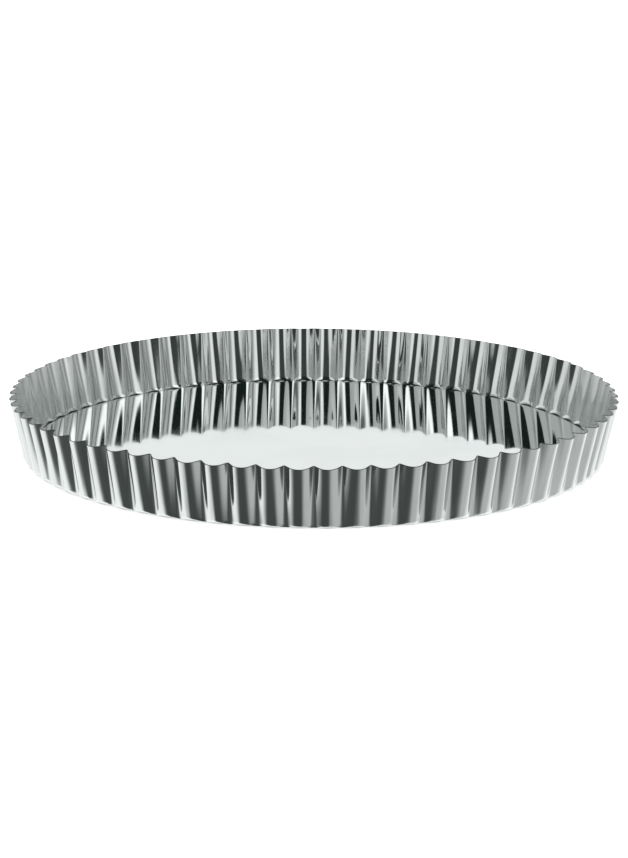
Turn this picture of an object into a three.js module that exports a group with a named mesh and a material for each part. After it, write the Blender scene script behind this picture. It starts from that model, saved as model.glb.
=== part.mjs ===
// A round, shallow, fluted tart pan of bright tinplate, with a loose base that lifts out.
// Millimetres, +Z up. The origin is the centre of the underside, and a ridge of the flutes faces -Y.

import * as THREE from 'three';
import { mergeVertices } from 'three/addons/utils/BufferGeometryUtils.js';

// Ring: overall sizes
const RIM_DIAMETER = 280; // across the crowns of the flutes, at the rim
const FOOT_DIAMETER = 265; // across the flat underside, where the wall starts
const RING_HEIGHT = 27.5; // from the underside to the rim, on a ridge
const RING_SHEET = 0.4; // thickness of the wall and of the lip
const LIP_WIDTH = 5; // flat inward lip that carries the base

// Ring: flutes, sharp and deep at the rim and soft and shallow at the foot
const FLUTE_COUNT = 72;
const RIM_FLUTE_DEPTH = 3.4; // from a ridge out to a crown
const FOOT_FLUTE_DEPTH = 1.6;
const RIM_FLANK_ANGLE = 44; // degrees that the straight flanks are turned from the way round the pan
const FOOT_FLANK_ANGLE = 24;
const RIM_RIDGE_RADIUS = 0.4; // outside radius of the narrow inward ridges
const FOOT_RIDGE_RADIUS = 3.6;
const RIM_DIP = 0.8; // how much lower the rim is on a crown than on a ridge
const COVE_HEIGHT = 2.6; // height over which the crowns curve in to the underside

// Loose base
const BASE_SHEET = 0.6; // thickness of the disc
const BASE_CLEARANCE = 0.4; // gap from the disc's edge to the ridges

// Facets
const RIDGE_STEPS = 2; // over a ridge's arc
const CROWN_STEPS = 4; // over a crown's arc
const COVE_STEPS = 2; // up the cove
const BASE_STEPS = 144; // round the disc

// The wall leans out at a steady rate from the foot to the rim
const footRadius = FOOT_DIAMETER / 2;
const rimRidgeRadius = RIM_DIAMETER / 2 - RIM_FLUTE_DEPTH;
const lipRadius = footRadius - LIP_WIDTH;

function ridgeRadiusAt(z) {
  return THREE.MathUtils.lerp(footRadius, rimRidgeRadius, z / RING_HEIGHT);
}

const fluteAngle = (2 * Math.PI) / FLUTE_COUNT;
const middleRadius = rimRidgeRadius + RIM_FLUTE_DEPTH / 2;
const halfPitch = (middleRadius * fluteAngle) / 2;

// Steps across one flute: the arc of a narrow ridge and the arc of a wide crown, which straight flanks join.
// along runs round the pan, rise runs outwards, and the normal points out of the sheet's outer side.
function fluteSteps(depth, flankDegrees, ridgeArc) {
  const flank = THREE.MathUtils.degToRad(flankDegrees);
  const bothArcs = (halfPitch * Math.sin(flank) - depth * Math.cos(flank)) / (1 - Math.cos(flank));
  const crownArc = bothArcs - ridgeArc;
  const steps = [];
  for (let step = 0; step <= RIDGE_STEPS; step++) {
    const turn = flank * ((2 * step) / RIDGE_STEPS - 1);
    steps.push({
      along: ridgeArc * Math.sin(turn),
      rise: ridgeArc * (1 - Math.cos(turn)),
      normalAlong: -Math.sin(turn),
      normalOut: Math.cos(turn),
    });
  }
  for (let step = 0; step <= CROWN_STEPS; step++) {
    const turn = flank * ((2 * step) / CROWN_STEPS - 1);
    steps.push({
      along: halfPitch + crownArc * Math.sin(turn),
      rise: depth - crownArc * (1 - Math.cos(turn)),
      normalAlong: Math.sin(turn),
      normalOut: Math.cos(turn),
    });
  }
  return steps;
}

const footSteps = fluteSteps(FOOT_FLUTE_DEPTH, FOOT_FLANK_ANGLE, FOOT_RIDGE_RADIUS);
const rimSteps = fluteSteps(RIM_FLUTE_DEPTH, RIM_FLANK_ANGLE, RIM_RIDGE_RADIUS);

// The same step at any height, on the straight line from the foot's step to the rim's
function stepAt(z, index) {
  const step = {};
  for (const [name, value] of Object.entries(footSteps[index])) {
    step[name] = THREE.MathUtils.lerp(value, rimSteps[index][name], z / RING_HEIGHT);
  }
  return step;
}

// Rows round one side of the sheet, from the lip's edge out to the foot, up the cove and up to the rim.
// share is how much of the flute shows, inset is the distance in from the outer side, and dip lowers the crowns.
function sheetSide(inset) {
  const rows = [{ z: inset, radius: lipRadius, share: 0, inset: 0, dip: 0 }];
  for (let step = 0; step <= COVE_STEPS; step++) {
    const turn = (Math.PI / 2) * (step / COVE_STEPS);
    const z = inset + (COVE_HEIGHT - inset) * (1 - Math.cos(turn));
    rows.push({ z, radius: ridgeRadiusAt(z), share: Math.sin(turn), inset, dip: 0 });
  }
  rows.push({ z: RING_HEIGHT, radius: rimRidgeRadius, share: 1, inset, dip: RIM_DIP });
  return rows;
}

// Where a row of the section meets a step of a flute
function ringPoint(row, index, flute) {
  const step = stepAt(row.z, index);
  const out = THREE.MathUtils.lerp(1, step.normalOut, row.share);
  const along = step.along - row.inset * row.share * step.normalAlong;
  const radius = row.radius + row.share * step.rise - row.inset * out;
  const angle = -Math.PI / 2 + fluteAngle * flute + along / middleRadius;
  const z = row.z - (row.dip * step.rise) / RIM_FLUTE_DEPTH;
  return new THREE.Vector3(radius * Math.cos(angle), radius * Math.sin(angle), z);
}

// The section is spun round the axis, and each of its points then moves on to the fluted sheet
function makeRing() {
  const rows = [...sheetSide(0), ...sheetSide(RING_SHEET).reverse()];
  rows.push(rows[0]);
  const stepCount = rimSteps.length;
  const section = rows.map((row) => new THREE.Vector2(row.radius, row.z));
  const spun = new THREE.LatheGeometry(section, FLUTE_COUNT * stepCount);
  const points = spun.attributes.position;
  for (let index = 0; index < points.count; index++) {
    const row = rows[index % rows.length];
    const column = Math.floor(index / rows.length);
    const flute = Math.floor(column / stepCount);
    const point = ringPoint(row, column % stepCount, flute);
    points.setXYZ(index, point.x, point.y, point.z);
  }
  return shaded(spun);
}

// A flat disc that lies on the lip, inside the ridges
function makeBase() {
  const bottom = RING_SHEET;
  const top = bottom + BASE_SHEET;
  const radius = ridgeRadiusAt(bottom) - RING_SHEET - BASE_CLEARANCE;
  const section = [
    new THREE.Vector2(0, bottom),
    new THREE.Vector2(radius, bottom),
    new THREE.Vector2(radius, top),
    new THREE.Vector2(0, top),
  ];
  const spun = new THREE.LatheGeometry(section, BASE_STEPS);
  spun.rotateX(Math.PI / 2);
  return shaded(spun);
}

// Welds the seam of a spun surface and shades it again
function shaded(spun) {
  spun.deleteAttribute('normal');
  spun.deleteAttribute('uv');
  const welded = mergeVertices(spun);
  welded.computeVertexNormals();
  return welded;
}

const ringTinplate = new THREE.MeshStandardMaterial({ color: 0xc4c9c6, roughness: 0.16, metalness: 1 });
const baseTinplate = new THREE.MeshStandardMaterial({ color: 0xd2d7d4, roughness: 0.1, metalness: 1 });

const ring = new THREE.Mesh(makeRing(), ringTinplate);
ring.name = 'fluted_ring';

const base = new THREE.Mesh(makeBase(), baseTinplate);
base.name = 'loose_base';

const tartPan = new THREE.Group();
tartPan.add(ring, base);

export default tartPan;
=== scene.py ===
import math

import bpy
import numpy as np
from mathutils import Matrix, Vector


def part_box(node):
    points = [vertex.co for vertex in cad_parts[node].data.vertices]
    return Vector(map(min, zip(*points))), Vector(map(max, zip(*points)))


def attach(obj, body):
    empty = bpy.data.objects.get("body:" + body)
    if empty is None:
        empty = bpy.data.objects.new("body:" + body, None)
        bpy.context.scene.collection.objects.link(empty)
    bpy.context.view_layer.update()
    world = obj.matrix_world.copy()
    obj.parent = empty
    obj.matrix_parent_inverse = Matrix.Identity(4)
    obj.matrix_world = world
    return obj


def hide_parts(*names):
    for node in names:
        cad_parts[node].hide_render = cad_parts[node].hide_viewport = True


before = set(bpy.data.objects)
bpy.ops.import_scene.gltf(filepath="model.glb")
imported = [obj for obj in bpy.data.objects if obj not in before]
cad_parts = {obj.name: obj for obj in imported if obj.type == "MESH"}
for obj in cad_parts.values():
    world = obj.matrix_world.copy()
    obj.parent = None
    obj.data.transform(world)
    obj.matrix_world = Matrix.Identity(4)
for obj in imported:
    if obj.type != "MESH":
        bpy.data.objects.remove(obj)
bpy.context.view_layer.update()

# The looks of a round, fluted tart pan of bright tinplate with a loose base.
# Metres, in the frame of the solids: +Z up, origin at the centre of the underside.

MM = 0.001

# Sizes of the solids
RIM_DIAMETER = 280 * MM
FOOT_DIAMETER = 265 * MM
RING_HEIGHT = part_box("fluted_ring")[1].z
RING_SHEET = 0.4 * MM
LIP_WIDTH = 5 * MM
FLUTE_COUNT = 72
RIM_FLUTE_DEPTH = 3.4 * MM
FOOT_FLUTE_DEPTH = 1.6 * MM
RIM_FLANK_ANGLE = math.radians(44)
FOOT_FLANK_ANGLE = math.radians(24)
RIM_RIDGE_RADIUS = 0.4 * MM
FOOT_RIDGE_RADIUS = 3.6 * MM
RIM_DIP = 0.8 * MM
BASE_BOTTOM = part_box("loose_base")[0].z
BASE_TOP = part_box("loose_base")[1].z
BASE_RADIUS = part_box("loose_base")[1].x

# Sizes that are finer than in the solids
OUTER_COVE = 1.7 * MM
INNER_COVE = 2.8 * MM
EDGE_BREAK = 0.1 * MM
LIP_MARGIN = 3 * RING_SHEET  # from the foot in to a row of points that keeps the lip flat

# Fineness of the pieces
ARC_STEPS = 12
FLANK_STEPS = 3
COVE_STEPS = 12
WALL_STEPS = 6
BASE_COLUMNS = 288
BASE_RINGS = 24
BASE_CENTRE = 0.02  # share of the base's radius that one face fills in the middle
SHARP_EDGE = math.radians(30)

# Dark places of the ring: painted shade in the gap round the base, and the bare steel of the cut rim
GAP_SHADE_REACH = 0.4 * MM  # how far the painted shade of the gap round the base reaches above the base on a crown
GAP_SHADE_FADE = 0.2 * MM  # height over which it fades in below that
CUT_REACH = 0.3 * MM  # how far the bare steel of the cut rim fades out down the outside

# The hand of the press: how far the drawn sheet strays from its true shape, and its fewest and most waves
# round the pan
SHAPE_SEED = 11
RIDGE_STRAY = 0.12 * MM
RIDGE_WAVES = (9, 60)
DEPTH_STRAY = 0.05  # share of the flutes' depth
DEPTH_WAVES = (5, 50)
SHEET_STRAY = 0.045 * MM
SHEET_WAVES = (20, 200)
STREAK_STRAY = 0.03 * MM
STREAK_WAVES = (150, 420)
BASE_STRAY = 0.048 * MM  # before it fades out to the centre and the edge
BASE_WAVES = (2, 7)

# The photograph's view. The sensor's width spans the longer side of the picture.
IMAGE_WIDTH = 628
IMAGE_HEIGHT = 858
FOCAL_PIXELS = 2538
CAMERA_DISTANCE = 1.178
CAMERA_ELEVATION = math.radians(14.6)
CAMERA_ROLL = math.radians(0.33)
ORIGIN_PIXEL = (313.8, 447.0)
SENSOR_WIDTH = 36.0
NEAREST_SEEN = 0.01
FARTHEST_SEEN = 100

# The tinplate: colours and roughness from clean to smudged
RING_CLEAN = (0.735, 0.752, 0.744)
RING_SMUDGED = (0.70, 0.717, 0.709)
RING_ROUGHNESS = (0.06, 0.13)
BASE_CLEAN = (0.88, 0.90, 0.905)
BASE_SMUDGED = (0.85, 0.87, 0.875)
BASE_ROUGHNESS = (0.03, 0.07)
# Painted shade for the gap round the loose base, on the inside of the ring
PAINTED_GAP_SHADE = (0.045, 0.05, 0.048)
CUT_COLOUR = (0.09, 0.095, 0.093)
CUT_ROUGHNESS = 0.4

# Its smudges and fine lines: features for each metre along each axis, and the depth of the lines
RING_SMUDGES = (38, 38, 55)
BASE_SMUDGES = (26, 26, 26)
SMUDGE_DETAIL = 4.0
SMUDGE_EDGES = (0.42, 0.66)  # noise between which a smudge fades in
DRAW_LINES = (1100, 1100, 18)
DRAW_LINE_DEPTH = 0.002 * MM
ROLL_LINES = (12, 900, 0)
ROLL_LINE_DEPTH = 0.0008 * MM
LINE_DETAIL = 3.0
LINE_WEAR = 0.6  # how much a line roughens the metal, where a full smudge is 1
WEAR_RANGE = (0.1, 1.4)  # wear between which the roughness goes from clean to smudged

# The studio
FLOOR_REACH = 12
FLOOR_COLOUR = (0.9, 0.9, 0.9)
FLOOR_ROUGHNESS = 0.9
WORLD_COLOUR = (1, 1, 1)
WORLD_STRENGTH = 2.4
TENT_RADIUS = 1.0
TENT_SIDES = 96
TENT_LAST_ROW = 89.5  # degrees of elevation, above which a cap closes the tent
TENT_SEAM = -125  # degrees of azimuth at which a turn round the tent starts
TENT_STRENGTH = 1.18

# Greys of the studio have a little less red than green, by the least tint and its rise with the tone
LEAST_TINT = 0.006
TINT_RISE = 0.022
BLUE_TINT = 1 / 3  # share of the tint that blue lacks

# Each card of the tent has a brightness, the azimuths between which it fades in and out, and the elevations
# between which it does, all in degrees. Azimuth 0 is the camera's side, and + is to the right.
TENT_TONE = 1.05
BELOW = (-92, -84, -1, 1)
LOW_BACK = (-62, -50, -36, -30)
ALL_ROUND = (-140, -130, 240, 250)
STUDIO_CARDS = {
    "low sides": (0.95, ALL_ROUND, (-36, -25, -1, 1)),
    "low right grey": (0.48, (-38, -2, 66, 118), BELOW),
    "low front dark": (0.065, (-80, -40, 4, 54), BELOW),
    "low left shade": (0.08, (-92, -48, -30, -10), (-36, -25, -1, 1)),
    "low right haze": (0.5, (-15, 55, 62, 114), (-36, -25, -1, 1)),
    "low back grey": (0.42, (150, 165, 205, 222), LOW_BACK),
    "low back dark": (0.08, (160, 172, 190, 205), LOW_BACK),
    "upper room": (0.45, ALL_ROUND, (-1, 1, 92, 96)),
    "ceiling": (0.08, ALL_ROUND, (56, 66, 100, 110)),
    "left light": (0.76, (-124, -105, -50, -25), (2, 9, 22, 34)),
    "right shade": (0.29, (10, 30, 84, 98), (2, 7, 26, 34)),
    "right light": (0.85, (-10, 10, 42, 76), (2, 9, 52, 62)),
    "softbox": (1.25, (12, 26, 42, 58), (23, 28, 36, 46)),
    "right gap": (0.12, (72, 80, 85, 93), (16, 22, 50, 60)),
    "front dark": (0.05, (-49, -34, 9, 25), (-1, 1, 100, 110)),
    "upper front dark": (0.015, (-53, -42, 3, 22), (24, 30, 100, 110)),
    "upper dark": (0.04, (-80, -50, 2, 25), (50, 58, 100, 110)),
    "right back dark": (0.15, (130, 142, 160, 168), (-1, 1, 40, 50)),
    "left back grey": (0.35, (198, 206, 222, 232), (-1, 1, 40, 50)),
    "back white": (0.765, (160, 169, 191, 200), (-1, 1, 60, 75)),
    "back ceiling": (0.72, (125, 150, 215, 235), (46, 58, 100, 110)),
    "top light": (0.82, ALL_ROUND, (70, 80, 100, 110)),
}

# Shape of the wall, as in the solids
foot_radius = FOOT_DIAMETER / 2
rim_ridge_radius = RIM_DIAMETER / 2 - RIM_FLUTE_DEPTH
lip_radius = foot_radius - LIP_WIDTH
lean = (rim_ridge_radius - foot_radius) / RING_HEIGHT
flute_angle = 2 * math.pi / FLUTE_COUNT
middle_radius = rim_ridge_radius + RIM_FLUTE_DEPTH / 2
half_pitch = middle_radius * flute_angle / 2


def smooth_noise(rng, angle, wave_range):
    """A smooth random value round the pan, mostly between -1 and 1, from waves of whole numbers."""
    fewest, most = wave_range
    waves = np.arange(fewest, most + 1)
    phases = rng.uniform(0, 2 * math.pi, len(waves))
    heights = rng.normal(0, 1, len(waves))
    total = sum(h * np.cos(w * angle + p) for w, p, h in zip(waves, phases, heights))
    return total / math.sqrt(len(waves))


def stray(rng, around, part, size, wave_range):
    """A stray of the sheet round the pan, from one random pattern at the foot to another at the rim."""
    low, high = (size * smooth_noise(rng, around, wave_range)[:, None] for _ in range(2))
    return low * (1 - part) + high * part


def flute_profile(depth, flank, ridge_arc):
    """Across one flute: along, rise and the normal, on the arcs of a ridge and a crown and on the flanks."""
    both_arcs = (half_pitch * math.sin(flank) - depth * math.cos(flank)) / (1 - math.cos(flank))
    crown_arc = both_arcs - ridge_arc
    turns = flank * np.linspace(-1, 1, ARC_STEPS)
    sine = np.sin(turns)
    cosine = np.cos(turns)
    ridge = np.array([ridge_arc * sine, ridge_arc * (1 - cosine), -sine, cosine])
    crown = np.array([half_pitch + crown_arc * sine, depth - crown_arc * (1 - cosine), sine, cosine])
    next_ridge = ridge + np.array([[2 * half_pitch], [0], [0], [0]])
    parts = np.linspace(0, 1, FLANK_STEPS + 2)[1:-1]
    up = ridge[:, -1:] * (1 - parts) + crown[:, :1] * parts
    down = crown[:, -1:] * (1 - parts) + next_ridge[:, :1] * parts
    return np.concatenate([ridge, up, crown, down], axis=1)


def sheet_side(inset):
    """Rows up one side of the sheet, from the lip's edge to the rim: z, radius, share, inset and dip."""
    side = 1 if inset == 0 else -1
    cove = OUTER_COVE if inset == 0 else INNER_COVE
    rows = [
        (inset + side * EDGE_BREAK, lip_radius, 0, 0, 0),
        (inset, lip_radius + EDGE_BREAK, 0, 0, 0),
        (inset, foot_radius - LIP_MARGIN, 0, 0, 0),
    ]
    for turn in np.linspace(0, math.pi / 2, COVE_STEPS + 1):
        z = inset + (cove - inset) * (1 - math.cos(turn))
        rows.append((z, foot_radius + lean * z, math.sin(turn), inset, 0))
    wall = RING_HEIGHT - EDGE_BREAK - cove
    for part in [*np.linspace(0, 1 - CUT_REACH / wall, WALL_STEPS)[1:], 1]:
        z = cove + wall * part
        rows.append((z, foot_radius + lean * z, 1, inset, RIM_DIP * part))
    rows.append((RING_HEIGHT, rim_ridge_radius, 1, inset + side * EDGE_BREAK, RIM_DIP))
    return rows


def grid_mesh(name, points, closed_rows):
    """A piece from points in columns and rows. Columns close round the axis. Rows close or end in caps."""
    columns, rows = points.shape[:2]
    index = np.arange(columns * rows).reshape(columns, rows)
    here = index if closed_rows else index[:, :-1]
    above = np.roll(index, -1, axis=1) if closed_rows else index[:, 1:]
    corners = [here, np.roll(here, -1, axis=0), np.roll(above, -1, axis=0), above]
    faces = np.stack(corners, axis=-1).reshape(-1, len(corners)).tolist()
    if not closed_rows:
        faces += [index[::-1, 0].tolist(), index[:, -1].tolist()]
    mesh = bpy.data.meshes.new(name)
    mesh.from_pydata(points.reshape(-1, 3).tolist(), [], faces)
    mesh.polygons.foreach_set("use_smooth", [True] * len(mesh.polygons))
    mesh.set_sharp_from_angle(angle=SHARP_EDGE)
    piece = bpy.data.objects.new(name, mesh)
    bpy.context.scene.collection.objects.link(piece)
    return piece


def mark(piece, name, values):
    """Keeps a value for each point of a piece, which its material reads."""
    marks = piece.data.attributes.new(name, "FLOAT", "POINT")
    marks.data.foreach_set("value", values.ravel())


def make_ring():
    """The drawn ring: one closed sheet with its lip, cove, fluted wall and cut rim."""
    rng = np.random.default_rng(SHAPE_SEED)
    rows = np.array(sheet_side(0) + sheet_side(RING_SHEET)[::-1])
    z, radius, share, inset, dip = (values[None, :] for values in rows.T)
    part = np.clip(z / RING_HEIGHT, 0, 1)
    foot = flute_profile(FOOT_FLUTE_DEPTH, FOOT_FLANK_ANGLE, FOOT_RIDGE_RADIUS)[:, :, None]
    rim = flute_profile(RIM_FLUTE_DEPTH, RIM_FLANK_ANGLE, RIM_RIDGE_RADIUS)[:, :, None]
    profiles = foot * (1 - part) + rim * part
    along, rise, normal_along, normal_out = np.tile(profiles, (1, FLUTE_COUNT, 1))
    flute = np.repeat(np.arange(FLUTE_COUNT) * flute_angle - math.pi / 2, foot.shape[1])
    around = flute + along[:, -1] / middle_radius
    ridge_shift = stray(rng, around, part, RIDGE_STRAY, RIDGE_WAVES)
    depth_change = 1 + stray(rng, around, part, DEPTH_STRAY, DEPTH_WAVES)
    sheet_shift = stray(rng, around, part, SHEET_STRAY, SHEET_WAVES)
    sheet_shift = sheet_shift + STREAK_STRAY * smooth_noise(rng, around, STREAK_WAVES)[:, None]
    out = 1 + share * (normal_out - 1)
    shifted = along + share * (ridge_shift - inset * normal_along)
    reach = radius + share * (rise * depth_change + sheet_shift) - inset * out
    angle = flute[:, None] + shifted / middle_radius
    height = z - dip * rise / RIM_FLUTE_DEPTH
    points = np.stack([reach * np.cos(angle), reach * np.sin(angle), height], axis=-1)
    piece = grid_mesh("tinplate_ring", points, closed_rows=True)
    crown = np.tile(foot[1] / FOOT_FLUTE_DEPTH, (FLUTE_COUNT, 1))
    # Painted shade in the gap round the base, reaching higher on the crowns
    mark_gap_shade(piece, z, crown)
    mark_cut(piece, points.shape[:2])
    return piece


def mark_gap_shade(piece, z, crown):
    """Marks painted shade on the inside of the ring, up to just above the base, where the gap round the base
    lies in shade.
    """
    rows = z.shape[1]
    inside = np.arange(rows) >= rows // 2
    mark(piece, "gap_shade", inside * np.clip((BASE_TOP + GAP_SHADE_REACH * crown - z) / GAP_SHADE_FADE, 0, 1))


def mark_cut(piece, shape):
    """Marks the cut edge of the rim and the outer corner below it, which are bare steel."""
    outer_top = shape[1] // 2 - 1
    cut = np.zeros(shape)
    cut[:, [outer_top - 1, outer_top, outer_top + 1]] = 1
    mark(piece, "cut", cut)


def make_base():
    """The loose base: a flat disc with a broken edge, whose sheet is very slightly wavy."""
    rng = np.random.default_rng(SHAPE_SEED + 1)
    inner = np.linspace(BASE_CENTRE, 1, BASE_RINGS) * (BASE_RADIUS - EDGE_BREAK)
    top = [(r, BASE_TOP) for r in inner]
    edge = [(BASE_RADIUS, BASE_TOP - EDGE_BREAK), (BASE_RADIUS, BASE_BOTTOM + EDGE_BREAK)]
    bottom = [(r, BASE_BOTTOM) for r in inner[::-1]]
    radius, z = (values[None, :] for values in np.array(top + edge + bottom).T)
    angle = np.arange(BASE_COLUMNS)[:, None] * 2 * math.pi / BASE_COLUMNS
    share = radius / BASE_RADIUS
    wave = BASE_STRAY * share ** 2 * (1 - share) * smooth_noise(rng, angle, BASE_WAVES)
    points = np.stack([radius * np.cos(angle), radius * np.sin(angle), z + wave], axis=-1)
    return grid_mesh("tinplate_base", points[:, ::-1], closed_rows=False)


def feed(tree, socket, value):
    """Gives a socket a constant, or links another node's result to it."""
    if isinstance(value, bpy.types.NodeSocket):
        tree.links.new(value, socket)
    else:
        socket.default_value = value


def calculate(tree, operation, *values):
    """The result of a math node."""
    node = tree.nodes.new("ShaderNodeMath")
    node.operation = operation
    for socket, value in zip(node.inputs, values):
        feed(tree, socket, value)
    return node.outputs["Value"]


def calculate_vector(tree, operation, *values):
    """The result of a vector math node."""
    node = tree.nodes.new("ShaderNodeVectorMath")
    node.operation = operation
    for socket, value in zip(node.inputs, values):
        feed(tree, socket, value)
    return node.outputs["Vector"]


def fade(tree, value, start, end, low=0.0, high=1.0):
    """A smooth change from low at start to high at end."""
    node = tree.nodes.new("ShaderNodeMapRange")
    node.interpolation_type = "SMOOTHSTEP"
    forward = start < end
    settings = {
        "Value": value,
        "From Min": start if forward else end,
        "From Max": end if forward else start,
        "To Min": low if forward else high,
        "To Max": high if forward else low,
    }
    for name, setting in settings.items():
        feed(tree, node.inputs[name], setting)
    return node.outputs["Result"]


def mix_colours(tree, share, first, second):
    """A colour between two."""
    node = tree.nodes.new("ShaderNodeMix")
    node.data_type = "RGBA"
    sockets = {socket.identifier: socket for socket in node.inputs}
    feed(tree, sockets["Factor_Float"], share)
    feed(tree, sockets["A_Color"], first)
    feed(tree, sockets["B_Color"], second)
    return next(socket for socket in node.outputs if socket.identifier == "Result_Color")


def noise(tree, place, features, detail):
    """Noise from 0 to 1, with so many features for each metre along each axis."""
    node = tree.nodes.new("ShaderNodeTexNoise")
    feed(tree, node.inputs["Vector"], calculate_vector(tree, "MULTIPLY", place, features))
    feed(tree, node.inputs["Scale"], 1.0)
    feed(tree, node.inputs["Detail"], detail)
    return node.outputs["Fac"]


def bump(tree, height, depth):
    """A normal that follows a small height."""
    node = tree.nodes.new("ShaderNodeBump")
    feed(tree, node.inputs["Distance"], depth)
    feed(tree, node.inputs["Height"], height)
    return node.outputs["Normal"]


def object_place(tree):
    """The place on the piece, in metres."""
    return tree.nodes.new("ShaderNodeTexCoord").outputs["Object"]


def wall_place(tree):
    """The place on the wall: its direction from the axis, drawn out to the wall's radius, and its height."""
    place = object_place(tree)
    level = calculate_vector(tree, "MULTIPLY", place, (1, 1, 0))
    direction = calculate_vector(tree, "NORMALIZE", level)
    around = calculate_vector(tree, "MULTIPLY", direction, (middle_radius, middle_radius, 0))
    height = calculate_vector(tree, "MULTIPLY", place, (0, 0, 1))
    return calculate_vector(tree, "ADD", around, height)


def marked(tree, name):
    """A value that is kept for each point of the piece."""
    node = tree.nodes.new("ShaderNodeAttribute")
    node.attribute_name = name
    return node.outputs["Fac"]


def smudges(tree, features):
    """Soft clouds, 0 where the metal is clean and 1 where it is smudged."""
    return fade(tree, noise(tree, object_place(tree), features, SMUDGE_DETAIL), *SMUDGE_EDGES)


def worn_roughness(tree, smudge, lines, roughness):
    """A roughness from clean to smudged, which the fine lines vary."""
    wear = calculate(tree, "ADD", smudge, calculate(tree, "MULTIPLY", lines, LINE_WEAR))
    return fade(tree, wear, *WEAR_RANGE, *roughness)


def metal(name):
    """A bare metallic material, and its shader."""
    material = bpy.data.materials.new(name)
    material.use_nodes = True
    shader = material.node_tree.nodes["Principled BSDF"]
    shader.inputs["Metallic"].default_value = 1
    return material, shader


def ring_tinplate():
    """Drawn tinplate: upright lines, cloudy smudges, painted shade in the gap round the base and a bare cut
    rim.
    """
    material, shader = metal("ring_tinplate")
    tree = material.node_tree
    smudge = smudges(tree, RING_SMUDGES)
    lines = noise(tree, wall_place(tree), DRAW_LINES, LINE_DETAIL)
    cut = marked(tree, "cut")
    colour = mix_colours(tree, smudge, (*RING_CLEAN, 1), (*RING_SMUDGED, 1))
    # Painted shade in the gap round the base
    colour = mix_colours(tree, marked(tree, "gap_shade"), colour, (*PAINTED_GAP_SHADE, 1))
    colour = mix_colours(tree, cut, colour, (*CUT_COLOUR, 1))
    roughness = worn_roughness(tree, smudge, lines, RING_ROUGHNESS)
    feed(tree, shader.inputs["Base Color"], colour)
    feed(tree, shader.inputs["Roughness"], fade(tree, cut, 0, 1, roughness, CUT_ROUGHNESS))
    feed(tree, shader.inputs["Normal"], bump(tree, lines, DRAW_LINE_DEPTH))
    return material


def base_tinplate():
    """Rolled tinplate: faint straight rolling lines and cloudy smudges."""
    material, shader = metal("base_tinplate")
    tree = material.node_tree
    smudge = smudges(tree, BASE_SMUDGES)
    lines = noise(tree, object_place(tree), ROLL_LINES, LINE_DETAIL)
    colour = mix_colours(tree, smudge, (*BASE_CLEAN, 1), (*BASE_SMUDGED, 1))
    feed(tree, shader.inputs["Base Color"], colour)
    feed(tree, shader.inputs["Roughness"], worn_roughness(tree, smudge, lines, BASE_ROUGHNESS))
    feed(tree, shader.inputs["Normal"], bump(tree, lines, ROLL_LINE_DEPTH))
    return material


def make_floor():
    """A wide plain pale floor. The metal mirrors the tent in its place."""
    reach = FLOOR_REACH
    mesh = bpy.data.meshes.new("floor")
    corners = [(-reach, -reach, 0), (reach, -reach, 0), (reach, reach, 0), (-reach, reach, 0)]
    mesh.from_pydata(corners, [], [(0, 1, 2, 3)])
    floor = bpy.data.objects.new("floor", mesh)
    bpy.context.scene.collection.objects.link(floor)
    material = bpy.data.materials.new("pale_floor")
    material.use_nodes = True
    shader = material.node_tree.nodes["Principled BSDF"]
    shader.inputs["Base Color"].default_value = (*FLOOR_COLOUR, 1)
    shader.inputs["Roughness"].default_value = FLOOR_ROUGHNESS
    floor.data.materials.append(material)
    floor.visible_glossy = False


def tent_directions(tree):
    """Azimuth and elevation, in degrees, of a point of the tent."""
    split = tree.nodes.new("ShaderNodeSeparateXYZ")
    feed(tree, split.inputs["Vector"], object_place(tree))
    towards_camera = calculate(tree, "MULTIPLY", split.outputs["Y"], -1)
    turn = calculate(tree, "ARCTAN2", split.outputs["X"], towards_camera)
    azimuth = calculate(tree, "WRAP", calculate(tree, "DEGREES", turn), TENT_SEAM + 360, TENT_SEAM)
    sine = calculate(tree, "DIVIDE", split.outputs["Z"], TENT_RADIUS)
    elevation = calculate(tree, "DEGREES", calculate(tree, "ARCSINE", sine))
    return azimuth, elevation


def cool(tone):
    """A grey of the studio, very slightly green and blue."""
    tint = LEAST_TINT + TINT_RISE * tone
    return (tone - tint, tone, tone - BLUE_TINT * tint, 1)


def tent_material():
    """The cards of the studio, each with soft edges and laid over the ones before it."""
    material = bpy.data.materials.new("studio_tent")
    material.use_nodes = True
    tree = material.node_tree
    tree.nodes.clear()
    output = tree.nodes.new("ShaderNodeOutputMaterial")
    glow = tree.nodes.new("ShaderNodeEmission")
    feed(tree, output.inputs["Surface"], glow.outputs["Emission"])
    azimuth, elevation = tent_directions(tree)
    colour = cool(TENT_TONE)
    for tone, sides, heights in STUDIO_CARDS.values():
        cover = 1.0
        for value, edges in ((azimuth, sides), (elevation, heights)):
            cover = calculate(tree, "MULTIPLY", cover, fade(tree, value, edges[0], edges[1]))
            cover = calculate(tree, "MULTIPLY", cover, fade(tree, value, edges[3], edges[2]))
        colour = mix_colours(tree, cover, colour, cool(tone))
    feed(tree, glow.inputs["Color"], colour)
    feed(tree, glow.inputs["Strength"], TENT_STRENGTH)
    material.cycles.emission_sampling = "NONE"
    return material


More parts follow.
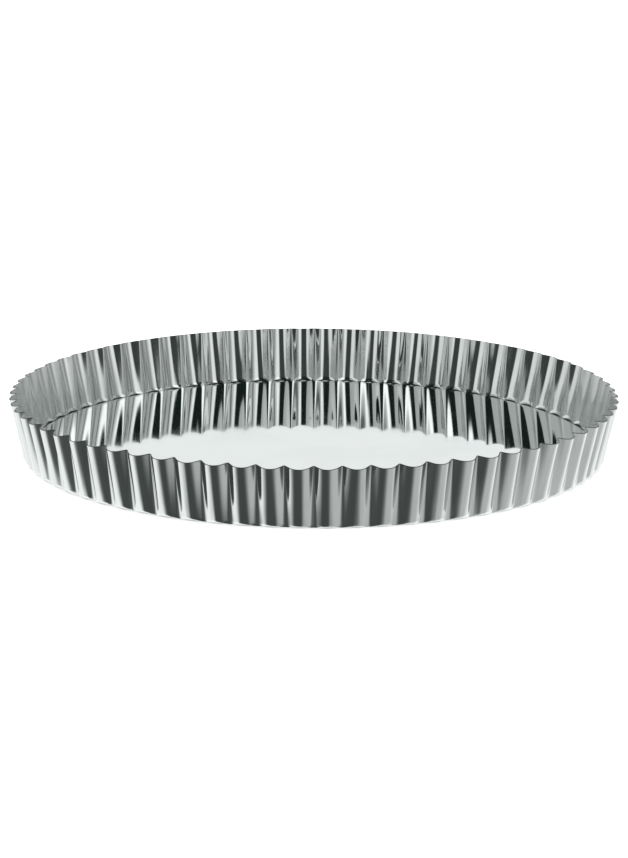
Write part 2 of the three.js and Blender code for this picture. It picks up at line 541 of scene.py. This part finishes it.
def make_tent():
    """A round studio tent of light and dark cards, which shows in the bright metal and nowhere else."""
    turns = np.arange(TENT_SIDES) * 2 * math.pi / TENT_SIDES
    rows = np.radians(np.linspace(-TENT_LAST_ROW, TENT_LAST_ROW, TENT_SIDES // 2))
    turn, row = np.meshgrid(turns, rows, indexing="ij")
    points = np.stack([np.cos(row) * np.cos(turn), np.cos(row) * np.sin(turn), np.sin(row)], axis=-1)
    tent = grid_mesh("studio_tent", TENT_RADIUS * points, closed_rows=False)
    tent.data.materials.append(tent_material())
    tent.visible_camera = False
    tent.visible_diffuse = False
    tent.visible_transmission = False
    tent.visible_volume_scatter = False
    tent.visible_shadow = False


def make_light():
    """Even white light from all round on the floor."""
    world = bpy.data.worlds.new("studio")
    world.use_nodes = True
    background = world.node_tree.nodes["Background"]
    background.inputs["Color"].default_value = (*WORLD_COLOUR, 1)
    background.inputs["Strength"].default_value = WORLD_STRENGTH
    bpy.context.scene.world = world
    world.cycles_visibility.glossy = False


def make_camera():
    """The camera at the photograph's place, aimed so that the origin falls on its pixel."""
    data = bpy.data.cameras.new("camera")
    data.sensor_width = SENSOR_WIDTH
    data.lens = FOCAL_PIXELS / IMAGE_HEIGHT * SENSOR_WIDTH
    data.clip_start = NEAREST_SEEN
    data.clip_end = FARTHEST_SEEN
    camera = bpy.data.objects.new("camera", data)
    bpy.context.scene.collection.objects.link(camera)
    back = Vector((0, -math.cos(CAMERA_ELEVATION), math.sin(CAMERA_ELEVATION)))
    aim = (-back).to_track_quat("-Z", "Y").to_matrix()
    right = (ORIGIN_PIXEL[0] - IMAGE_WIDTH / 2) / FOCAL_PIXELS
    down = (ORIGIN_PIXEL[1] - IMAGE_HEIGHT / 2) / FOCAL_PIXELS
    turn = Matrix.Rotation(math.atan(right), 3, "Y") @ Matrix.Rotation(math.atan(down), 3, "X")
    roll = Matrix.Rotation(CAMERA_ROLL, 3, "Z")
    camera.matrix_world = Matrix.Translation(back * CAMERA_DISTANCE) @ (aim @ turn @ roll).to_4x4()
    bpy.context.scene.camera = camera


make_camera()
ring = make_ring()
ring.data.materials.append(ring_tinplate())
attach(ring, "ring")
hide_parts("fluted_ring")

base = make_base()
base.data.materials.append(base_tinplate())
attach(base, "base")
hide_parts("loose_base")

make_floor()
make_tent()
make_light()
bpy.context.scene.view_settings.view_transform = "Standard"
